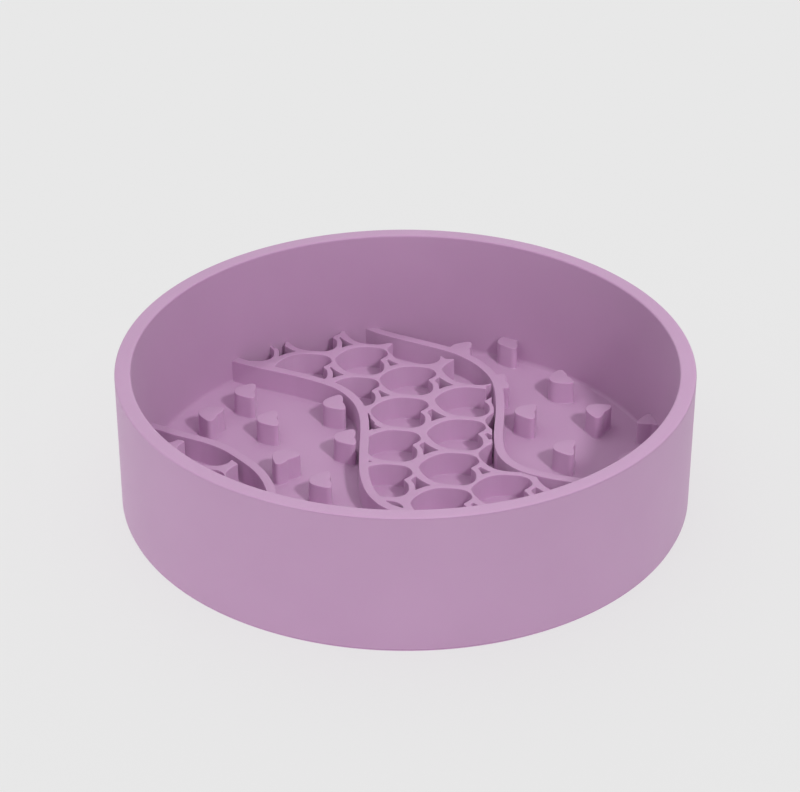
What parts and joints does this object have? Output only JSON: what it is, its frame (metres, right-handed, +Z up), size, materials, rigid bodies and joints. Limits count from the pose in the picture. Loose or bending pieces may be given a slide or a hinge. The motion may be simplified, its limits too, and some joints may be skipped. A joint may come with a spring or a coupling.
{
  "type": "slow feeder bowl",
  "caption": "Round flat-bottomed silicone pet bowl whose floor carries S-shaped ridges, heart-shaped cells and small heart pegs, so that food is eaten slowly.",
  "frame": {"origin": "middle of the underside, on the surface that the bowl stands on", "axes": "+Z up out of the bowl; +X and +Y across the rim, with -Y towards the viewer of the picture"},
  "size_m": [0.2, 0.2, 0.051],
  "materials": {
    "silicone": "matte"
  },
  "bodies": {
    "root": {"side_wall": "silicone", "floor": "silicone", "foot_ring": "silicone", "left_ridge": "silicone", "middle_ridge": "silicone", "right_ridge": "silicone", "centre_heart_wall_1": "silicone", "centre_heart_wall_2": "silicone", "centre_heart_wall_3": "silicone", "centre_heart_wall_4": "silicone", "centre_heart_wall_5": "silicone", "centre_heart_wall_6": "silicone", "centre_heart_wall_7": "silicone", "left_heart_wall_1": "silicone", "left_heart_wall_2": "silicone", "left_heart_wall_3": "silicone", "left_heart_wall_4": "silicone", "left_heart_peg_1": "silicone", "left_heart_peg_2": "silicone", "left_heart_peg_3": "silicone", "left_heart_peg_4": "silicone", "left_heart_peg_5": "silicone", "left_heart_peg_6": "silicone", "left_heart_peg_7": "silicone", "left_heart_peg_8": "silicone", "left_heart_peg_9": "silicone", "left_heart_peg_10": "silicone", "left_heart_peg_11": "silicone", "left_heart_peg_12": "silicone", "left_heart_peg_13": "silicone", "left_heart_peg_14": "silicone", "right_heart_peg_1": "silicone", "right_heart_peg_2": "silicone", "right_heart_peg_3": "silicone", "right_heart_peg_4": "silicone", "right_heart_peg_5": "silicone", "right_heart_peg_6": "silicone", "right_heart_peg_7": "silicone", "right_heart_peg_8": "silicone", "right_heart_peg_9": "silicone"}
  },
  "joints": []
}
